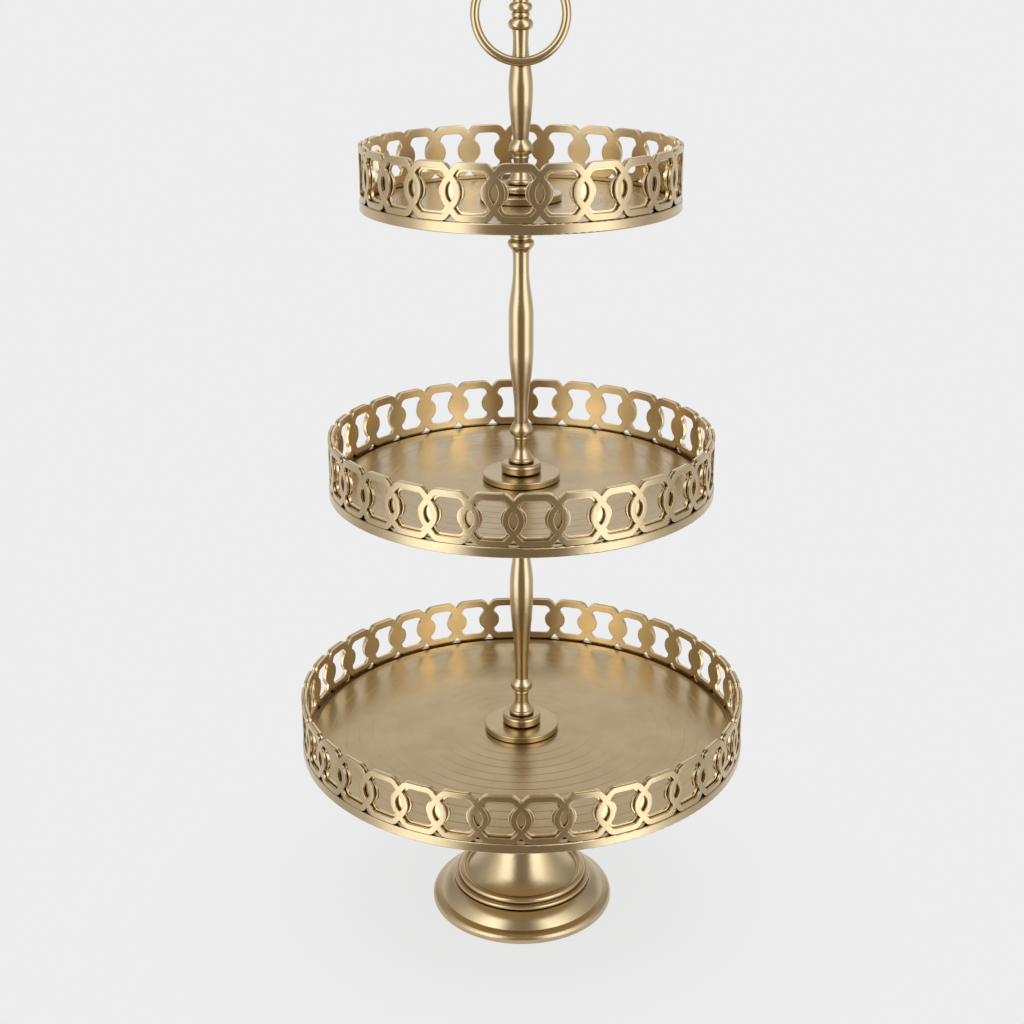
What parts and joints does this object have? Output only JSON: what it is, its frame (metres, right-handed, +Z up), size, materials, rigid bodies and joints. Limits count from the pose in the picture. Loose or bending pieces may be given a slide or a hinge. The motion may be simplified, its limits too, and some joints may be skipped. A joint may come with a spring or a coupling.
{
  "type": "tiered cake stand",
  "caption": "Tiered cake stand: round grooved plates with pierced interlocking-link galleries on a turned column, with a pedestal foot and a swinging ring handle.",
  "frame": {"origin": "centre of the foot's underside, on the surface that the stand rests on", "axes": "+Z up along the column; -Y is the front, where the ring leans on the stem; +X is right seen from the front"},
  "size_m": [0.3072, 0.3072, 0.653],
  "materials": {
    "plate_brass": "brushed antique brass with turned grooves",
    "rim_brass": "satin antique brass",
    "gallery_brass": "satin antique brass with darker patina in the gaps",
    "turned_brass": "satin antique brass, fine turning marks",
    "foot_brass": "satin antique brass, fine turning marks",
    "fastener_steel": "plain zinc-plated steel",
    "pad_rubber": "matt"
  },
  "bodies": {
    "stand": {"finial": "turned_brass", "foot": "foot_brass", "foot_nut": "fastener_steel", "foot_pad": "pad_rubber", "foot_washer": "fastener_steel", "handle_stem": "turned_brass", "lower_capital": "turned_brass", "lower_collar": "turned_brass", "lower_flange": "turned_brass", "lower_gallery_chain": "gallery_brass", "lower_gallery_liner": "gallery_brass", "lower_plate": "plate_brass", "lower_rim": "rim_brass", "lower_shaft": "turned_brass", "lower_stud": "fastener_steel", "lower_tray_washer": "fastener_steel", "lower_urn": "turned_brass", "middle_capital": "turned_brass", "middle_collar": "turned_brass", "middle_flange": "turned_brass", "middle_gallery_chain": "gallery_brass", "middle_gallery_liner": "gallery_brass", "middle_plate": "plate_brass", "middle_rim": "rim_brass", "middle_shaft": "turned_brass", "middle_stud": "fastener_steel", "middle_tray_washer": "fastener_steel", "middle_urn": "turned_brass", "upper_collar": "turned_brass", "upper_flange": "turned_brass", "upper_gallery_chain": "gallery_brass", "upper_gallery_liner": "gallery_brass", "upper_plate": "plate_brass", "upper_rim": "rim_brass", "upper_stud": "fastener_steel", "upper_urn": "turned_brass"},
    "ring": {"ring_handle": "turned_brass"}
  },
  "joints": [
    {"name": "ring_swing", "type": "hinge", "parent": "stand", "child": "ring", "pos_m": [0, 0, 0.6444], "axis": [-1, 0, 0], "range_deg": [0, 341.5]}
  ]
}
